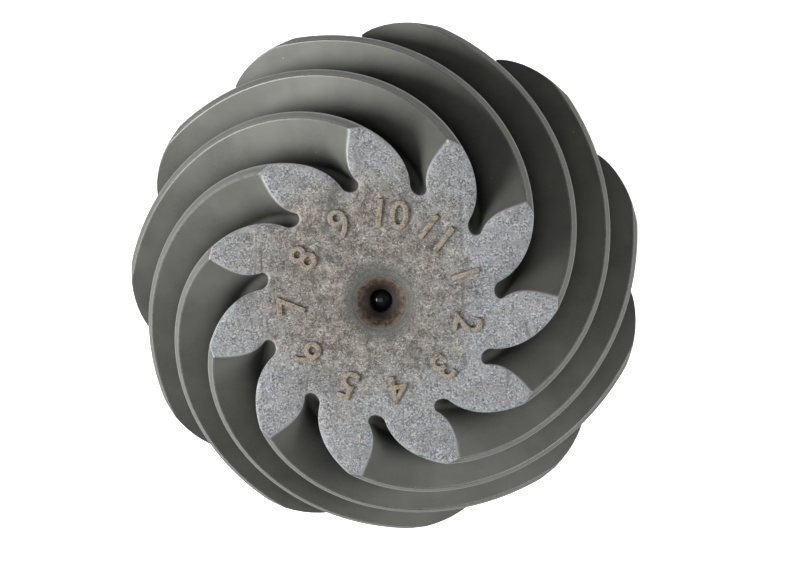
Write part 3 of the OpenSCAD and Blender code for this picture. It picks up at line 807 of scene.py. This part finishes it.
def number_mesh(gear, law):
    """Raised numbers from 1 to the number of teeth, feet towards the axis, one for each tooth."""
    meshes = []
    for k in range(law.teeth):
        curve = bpy.data.curves.new("number", "FONT")
        curve.body = str(k + 1)
        curve.size = gear.number_height / DIGIT_SHARE
        curve.extrude = 0.26 * MM
        curve.bevel_depth = 0.12 * MM
        curve.bevel_resolution = 1
        curve.resolution_u = 6
        curve.align_x = "CENTER"
        text = add_object("number", curve)
        bpy.context.view_layer.update()
        mesh = bpy.data.meshes.new_from_object(text.evaluated_get(bpy.context.evaluated_depsgraph_get()))
        bpy.data.objects.remove(text)
        angle = law.start - law.pitch * (k + NUMBER_LAG)
        place = Matrix.Translation((gear.number_ring * math.cos(angle), gear.number_ring * math.sin(angle),
                                    TOE_Z + NUMBER_LIFT * MM))
        mesh.transform(place @ Matrix.Rotation(angle - math.pi / 2, 4, "Z"))
        meshes.append(mesh)
    result = joined("tooth_numbers", meshes)
    tidy(result)
    return result


class PINION_OT_head(bpy.types.Operator):
    """Builds the toothed head and its raised numbers"""
    bl_idname = "pinion.head"
    bl_label = "Toothed head"

    def execute(self, context):
        scene = context.scene
        law = ToothLaw(scene.pinion_gear)
        head = add_object("gear_head", head_mesh(law))
        tidy(head.data, merge=0.0005 * MM)
        ring_of(head, law.teeth, head_steel(scene.pinion_finish), merge=0.003 * MM)
        tidy(head.data, merge=0.003 * MM)
        smooth_by_angle(head.data, 38)
        dress(head, "pinion_shaft", "phosphated_steel", None, "drive_pinion")
        numbers = add_object("tooth_numbers", number_mesh(scene.pinion_gear, law))
        smooth_by_angle(numbers.data, 40)
        dress(numbers, "pinion_shaft", "phosphated_steel", number_steel(scene.pinion_finish), "drive_pinion")
        return {"FINISHED"}


# ---------------------------------------------------------------- stem

REAR_R = 20.6375          # mm, as are all these sizes
FRONT_R = 16.669
HUB_R = 30.0
SHOULDER_Z = 190.0
STEP_Z = 160.0
SPLINE_Z = (47.0, 92.5)
SPLINE_R = (14.9, 16.0)
THREAD_Z = (26.4, 43.6)
THREAD_R = (10.02, 11.1)
BACK_INSIDE_Z = 194.6     # the hub ends just inside the head


def stem_mesh():
    low = STEM_END_Z / MM
    root, core = SPLINE_R[0] - 0.3, THREAD_R[0]
    profile = [
        (0, BACK_INSIDE_Z), (HUB_R, BACK_INSIDE_Z), (HUB_R, 191.0), (29.0, SHOULDER_Z),
        (REAR_R + 0.6, SHOULDER_Z), (REAR_R + 0.6, SHOULDER_Z - 0.02), (REAR_R - 0.25, SHOULDER_Z - 0.3),
        (REAR_R - 0.25, SHOULDER_Z - 1.6), (REAR_R, SHOULDER_Z - 2.0), (REAR_R, STEP_Z + 0.8),
        (REAR_R - 0.8, STEP_Z), (FRONT_R, STEP_Z), (FRONT_R, SPLINE_Z[1] + 1.2),
        (FRONT_R - 0.6, SPLINE_Z[1] + 0.4), (root, SPLINE_Z[1]), (root, SPLINE_Z[0]),
        (core, 46.0), (core, low + 1.0), (core - 1.0, low), (3.0, low), (2.6, low + 0.5),
        (1.2, low + 3.6), (0, low + 4.4)]
    return revolved("pinion_stem", profile, 160)


def prism(name, sections):
    """Closed solid through sections, which are loops with equal numbers of points."""
    count = len(sections[0])
    points = [p for section in sections for p in section]
    faces = grid_faces(len(sections), count, wrap=True)
    faces += [tuple(range(count))[::-1], tuple(range(len(points) - count, len(points)))]
    mesh = mesh_from(name, points, faces)
    tidy(mesh)
    return mesh


def spline_tooth():
    """One tooth of the spline, with curved sides and chamfered ends."""
    low, top = SPLINE_R
    step = 2 * math.pi / 30
    sides = ((0.335, low - 0.4), (0.33, low), (0.30, low + 0.35 * (top - low)),
             (0.24, low + 0.75 * (top - low)), (0.18, top - 0.06), (0.16, top))
    start, end = SPLINE_Z
    sections = []
    for z, cut in ((start, 0.9), (start + 0.9, 0.0), (end - 1.6, 0.0), (end, 0.95)):
        side = [(share, min(radius, top - cut * (top - low))) for share, radius in sides]
        loop = [(-share, radius) for share, radius in side] + side[::-1]
        sections.append([(r * math.cos(a * step), r * math.sin(a * step), z) for a, r in loop])
    return prism("stem_splines", sections)


def thread_mesh():
    """Helical thread whose ends fade into the core."""
    pitch, per_turn = 1.8, 56
    core, crest = THREAD_R
    turns = (THREAD_Z[1] - THREAD_Z[0]) / pitch
    count = int(turns * per_turn)
    sections = []
    for k in range(count + 1):
        t = k / per_turn
        height = max(0.02, min(1.0, t / 0.6, (turns - t) / 0.6))
        angle = 2 * math.pi * t
        z = THREAD_Z[0] + pitch * t
        profile = ((core - 0.12, -0.46), (core + (crest - core) * height, -0.10),
                   (core + (crest - core) * height, 0.10), (core - 0.12, 0.46))
        sections.append([(r * math.cos(angle), r * math.sin(angle), z + pitch * dz)
                         for r, dz in profile])
    return prism("stem_thread", sections)


class PINION_OT_stem(bpy.types.Operator):
    """Builds the stem with its journals, its spline and its thread"""
    bl_idname = "pinion.stem"
    bl_label = "Stem"

    def execute(self, context):
        finish = context.scene.pinion_finish
        ground = turned_steel("ground_stem", tuple(finish.ground), 0.14)
        stem = add_object("pinion_stem", stem_mesh())
        smooth_by_angle(stem.data, 35)
        splines = add_object("stem_splines", spline_tooth())
        ring_of(splines, 30, ground)
        smooth_by_angle(splines.data, 35)
        thread = add_object("stem_thread", thread_mesh())
        smooth_by_angle(thread.data, 35)
        for piece in (stem, splines, thread):
            dress(piece, "pinion_shaft", "phosphated_steel", ground, "drive_pinion")
        return {"FINISHED"}


# ---------------------------------------------------------------- yoke and nut

YOKE_HUB_R = 24.1
YOKE_NECK_Z = 69.0
CAP_R = 13.5
SEAT_END = 40.9           # half the distance between the end walls of the cap seats
NUT_Z = (27.8, 41.8)


def yoke_mesh():
    """The yoke with its forged edges rounded. Machined edges stay crisp."""
    mesh = cad_copy("end_yoke")
    work = bmesh.new()
    work.from_mesh(mesh)
    bmesh.ops.dissolve_limit(work, angle_limit=math.radians(1.0), verts=work.verts, edges=work.edges)
    forged = []
    for edge in work.edges:
        if not edge.is_manifold or edge.calc_face_angle_signed(0) < math.radians(22):
            continue
        ends = [v.co / MM for v in edge.verts]
        outside = all(math.hypot(p.x, p.y) > YOKE_HUB_R + 0.4 for p in ends)
        off_seat = all(math.hypot(p.y, p.z) > CAP_R + 0.4 for p in ends)
        above = all(p.z > 0.4 for p in ends)
        if outside and off_seat and above:
            forged.append(edge)
    bmesh.ops.bevel(work, geom=forged, offset=2.6 * MM, offset_type="OFFSET", segments=5, profile=0.5,
                    affect="EDGES", clamp_overlap=True)
    bmesh.ops.triangulate(work, faces=[f for f in work.faces if len(f.verts) > 4])
    work.to_mesh(mesh)
    work.free()
    mesh.name = "yoke_forging"
    return mesh


def hexagon(angle, across_flats):
    """Radius of a hexagon in a direction."""
    turn = (angle + math.pi / 6) % (math.pi / 3) - math.pi / 6
    return across_flats / 2 / math.cos(turn)


def nut_mesh():
    """Flanged hexagon nut: chamfered corners, threaded bore, and a collar staked in three places."""
    low, high = NUT_Z
    across, collar_top = 30.0, 30.3
    loops = [("round", 11.25, high - 0.9), ("round", 12.1, high), ("round", 17.5, high),
             ("round", 18.0, high - 0.4), ("round", 18.0, high - 1.7), ("round", 17.4, high - 2.3)]
    loops += [("hex", 99, high - 2.6), ("hex", 99, 36.0), ("hex", 99, 32.6)]
    loops += [("hex", 15.3 + (z - collar_top) * 1.73, z) for z in np.linspace(31.7, collar_top, 6)]
    loops += [("dent", 13.7, collar_top), ("dent", 13.45, collar_top - 0.3), ("dent", 13.4, low + 0.3),
              ("dent", 13.1, low), ("dent", 11.9, low), ("dent", 11.5, low + 0.5),
              ("round", 11.3, collar_top)]
    turns, pitch = 6, 1.8
    for k in range(2 * turns - 1):
        loops.append(("round", 11.14 if k % 2 else 11.45, collar_top + 0.6 + k * pitch / 2 * 0.92))
    steps = 180
    points = []
    for kind, radius, z in loops:
        for k in range(steps):
            angle = 2 * math.pi * k / steps
            r = radius
            if kind == "hex":
                r = min(radius, hexagon(angle, across))
            elif kind == "dent":
                off = (angle + math.pi / 3) % (2 * math.pi / 3) - math.pi / 3
                r -= 0.7 * math.exp(-(off / 0.13) ** 2) * (z < collar_top - 0.1)
            points.append((r * math.cos(angle), r * math.sin(angle), z))
    rows = len(loops)
    faces = grid_faces(rows, steps, wrap=True)
    faces += [((rows - 1) * steps + c, (rows - 1) * steps + (c + 1) % steps, (c + 1) % steps, c)
              for c in range(steps)]
    mesh = mesh_from("flange_nut", points, faces)
    tidy(mesh)
    return mesh


class PINION_OT_yoke(bpy.types.Operator):
    """Builds the end yoke with rounded forged edges"""
    bl_idname = "pinion.yoke"
    bl_label = "End yoke"

    def execute(self, context):
        finish = context.scene.pinion_finish
        yoke = add_object("yoke_forging", yoke_mesh())
        smooth_by_angle(yoke.data, 30)
        iron = yoke_iron(tuple(finish.casting), CAP_R * MM, SEAT_END * MM, YOKE_HUB_R * MM,
                         YOKE_NECK_Z * MM)
        dress(yoke, "pinion_shaft", "yoke_iron", iron, "end_yoke")
        return {"FINISHED"}


class PINION_OT_nut(bpy.types.Operator):
    """Builds the flanged nut that clamps the stack"""
    bl_idname = "pinion.nut"
    bl_label = "Nut"

    def execute(self, context):
        nut = add_object("flange_nut", nut_mesh())
        smooth_by_angle(nut.data, 30)
        plate = zinc_plate("nut_zinc", tuple(context.scene.pinion_finish.zinc))
        dress(nut, "pinion_shaft", "nut_steel", plate, "pinion_nut")
        return {"FINISHED"}


# ---------------------------------------------------------------- seal spring and kept parts

def garter_mesh():
    """Close-wound coil spring joined into a ring."""
    low, high = (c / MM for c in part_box("seal_spring"))
    middle = (low + high) / 2
    coil_r = (high.z - low.z) / 2
    wire_r = 0.24
    ring_r = (high.x - low.x) / 2 - coil_r
    turns = 300
    steps, sides = turns * 14, 6
    points = []
    for k in range(steps):
        around = 2 * math.pi * k / steps
        wound = around * turns
        outward = Vector((math.cos(around), math.sin(around), 0))
        spoke = outward * math.cos(wound) + Vector((0, 0, math.sin(wound)))
        centre = middle + outward * ring_r + spoke * (coil_r - wire_r)
        along = (outward.cross(Vector((0, 0, 1))) * -ring_r / turns
                 + (Vector((0, 0, math.cos(wound))) - outward * math.sin(wound)) * coil_r).normalized()
        across = along.cross(spoke).normalized()
        points += [centre + wire_r * (spoke * math.cos(a) + across * math.sin(a))
                   for a in np.arange(sides) * 2 * math.pi / sides]
    faces = grid_faces(steps, sides, wrap=True)
    last = (steps - 1) * sides
    faces += [(last + c, last + (c + 1) % sides, (c + 1) % sides, c) for c in range(sides)]
    mesh = mesh_from("garter_coil", points, faces)
    tidy(mesh, merge=0.0002 * MM)
    mesh.shade_smooth()
    return mesh


class PINION_OT_spring(bpy.types.Operator):
    """Builds the garter spring of the seal as a wound coil"""
    bl_idname = "pinion.spring"
    bl_label = "Garter spring"

    def execute(self, context):
        spring = add_object("garter_coil", garter_mesh())
        dress(spring, "axle_side", "spring_steel", turned_steel("spring_wire", (0.46, 0.46, 0.47), 0.3, 0.25),
              "seal_spring")
        return {"FINISHED"}


class PINION_OT_finishes(bpy.types.Operator):
    """Gives the parts whose shape is kept their finishes"""
    bl_idname = "pinion.finishes"
    bl_label = "Finishes of the kept parts"

    def execute(self, context):
        finish = context.scene.pinion_finish
        ground, zinc = tuple(finish.ground), tuple(finish.zinc)
        rings = bearing_steel("bearing_ring_steel", (0.44, 0.45, 0.46))
        cage = pressed_steel("cage_steel", (0.30, 0.29, 0.27), rough=0.38)
        seal = pressed_steel("seal_case_steel", (0.40, 0.41, 0.42), rough=0.36)
        kept = {
            "depth_shim": turned_steel("shim_steel", (0.48, 0.46, 0.42), 0.4, 0.34),
            "rear_bearing_cone": rings, "rear_bearing_cup": rings,
            "front_bearing_cone": rings, "front_bearing_cup": rings,
            "rear_bearing_rollers": bearing_steel("roller_steel", (0.54, 0.54, 0.55)),
            "front_bearing_rollers": bearing_steel("small_roller_steel", (0.54, 0.54, 0.55)),
            "rear_bearing_cage": cage, "front_bearing_cage": cage,
            "crush_sleeve": pressed_steel("sleeve_steel", (0.22, 0.22, 0.21), 0.6, 0.48),
            "oil_slinger": zinc_plate("slinger_zinc", zinc),
            "seal_case": seal, "seal_inner_case": seal,
            "seal_lip": rubber("seal_rubber"),
            "dust_deflector": zinc_plate("deflector_zinc", shade(zinc, 0.9)),
            "pinion_washer": turned_steel("washer_steel", ground, 0.3, 0.34),
        }
        for node, material in kept.items():
            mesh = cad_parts[node].data
            mesh.materials.clear()
            mesh.materials.append(material)
        return {"FINISHED"}


# ---------------------------------------------------------------- stage

def light(name, place, aim, size, power):
    data = bpy.data.lights.new(name, "AREA")
    data.shape = "DISK"
    data.size = size
    data.energy = power
    lamp = add_object(name, data)
    lamp.location = place
    lamp.rotation_euler = (Vector(aim) - Vector(place)).to_track_quat("-Z", "Y").to_euler()


class PINION_OT_stage(bpy.types.Operator):
    """Builds the floor, the lights and the camera"""
    bl_idname = "pinion.stage"
    bl_label = "Studio"

    def execute(self, context):
        scene = context.scene
        stage = scene.pinion_stage
        flat = stage.floor_size / 2
        sweep = [(flat + flat / 2 * math.sin(t), flat / 2 * (1 - math.cos(t)))
                 for t in np.linspace(0, math.pi / 2, 17)]
        profile = [(0, 0), (flat / 2, 0)] + sweep + [(flat * 1.5, flat * 1.2)]
        mesh = revolved("floor", [(r / MM, z / MM) for r, z in profile], 96)
        mesh.flip_normals()
        mesh.shade_smooth()
        floor = add_object("floor", mesh)
        s = Surface("pale_floor")
        tone = s.mix(s.between(s.noise(60.0), 0.3, 0.7), (0.90, 0.90, 0.90), (0.92, 0.92, 0.92))
        glow = s.mix(s.between(s.radius(), 0.22, 0.75), (0.72, 0.72, 0.72), (0, 0, 0))
        mesh.materials.append(s.finish(Base_Color=tone, Roughness=0.9, Emission_Color=glow,
                                       Emission_Strength=1.0))
        floor.location.z = CAD_BOX[0].z

        world = bpy.data.worlds.new("soft_sky")
        world.use_nodes = True
        world.node_tree.nodes.clear()
        g = Graph(world.node_tree)
        sky = g.node("ShaderNodeBackground", {}, {"Color": (1, 1, 1), "Strength": stage.sky})
        g.node("ShaderNodeOutputWorld", {}, {"Surface": sky})
        scene.world = world
        middle = (0, 0, TOE_Z)
        light("key", (-0.80, -0.13, TOE_Z + 0.55), middle, 0.60, stage.key_power * 1.30)
        light("fill", (0.80, -0.05, TOE_Z + 0.42), middle, 0.50, stage.key_power * 0.42)
        light("top", (-0.14, -0.16, TOE_Z + 1.1), middle, 0.7, stage.key_power * 0.10)

        toe = Vector((0, 0, TOE_Z))
        place, aim = toe + Vector(stage.camera_place), toe + Vector(stage.camera_aim)
        back = (place - aim).normalized()
        right = Vector((0, 1, 0)).cross(back).normalized()
        up = back.cross(right)
        data = bpy.data.cameras.new("camera")
        data.lens = stage.lens
        data.sensor_width = 36
        data.clip_start = 0.01
        camera = add_object("camera", data)
        camera.matrix_world = Matrix.Translation(place) @ Matrix((right, up, back)).transposed().to_4x4()
        scene.camera = camera
        scene.view_settings.view_transform = "Standard"
        return {"FINISHED"}


class PINION_PT_panel(bpy.types.Panel):
    """Lists the operators in the order in which they are used"""
    bl_idname = "PINION_PT_panel"
    bl_label = "Drive pinion"
    bl_space_type = "VIEW_3D"
    bl_region_type = "UI"
    bl_category = "Pinion"

    def draw(self, context):
        for operator in OPERATORS:
            self.layout.operator(operator.bl_idname)
        for group in ("pinion_gear", "pinion_finish", "pinion_stage"):
            box = self.layout.box()
            settings = getattr(context.scene, group)
            for key in settings.__annotations__:
                box.prop(settings, key)


SETTINGS = {"pinion_gear": GearHeadSettings, "pinion_finish": FinishSettings, "pinion_stage": StageSettings}
OPERATORS = (PINION_OT_head, PINION_OT_stem, PINION_OT_yoke, PINION_OT_nut, PINION_OT_spring,
             PINION_OT_finishes, PINION_OT_stage)


def register():
    for settings in SETTINGS.values():
        bpy.utils.register_class(settings)
    for name, settings in SETTINGS.items():
        setattr(bpy.types.Scene, name, PointerProperty(type=settings))
    for cls in (*OPERATORS, PINION_PT_panel):
        bpy.utils.register_class(cls)


def unregister():
    for cls in (PINION_PT_panel, *OPERATORS[::-1]):
        bpy.utils.unregister_class(cls)
    for name in SETTINGS:
        delattr(bpy.types.Scene, name)
    for settings in SETTINGS.values():
        bpy.utils.unregister_class(settings)


def main():
    register()
    for operator in OPERATORS:
        group, name = operator.bl_idname.split(".")
        getattr(getattr(bpy.ops, group), name)()


if __name__ == "__main__":
    main()
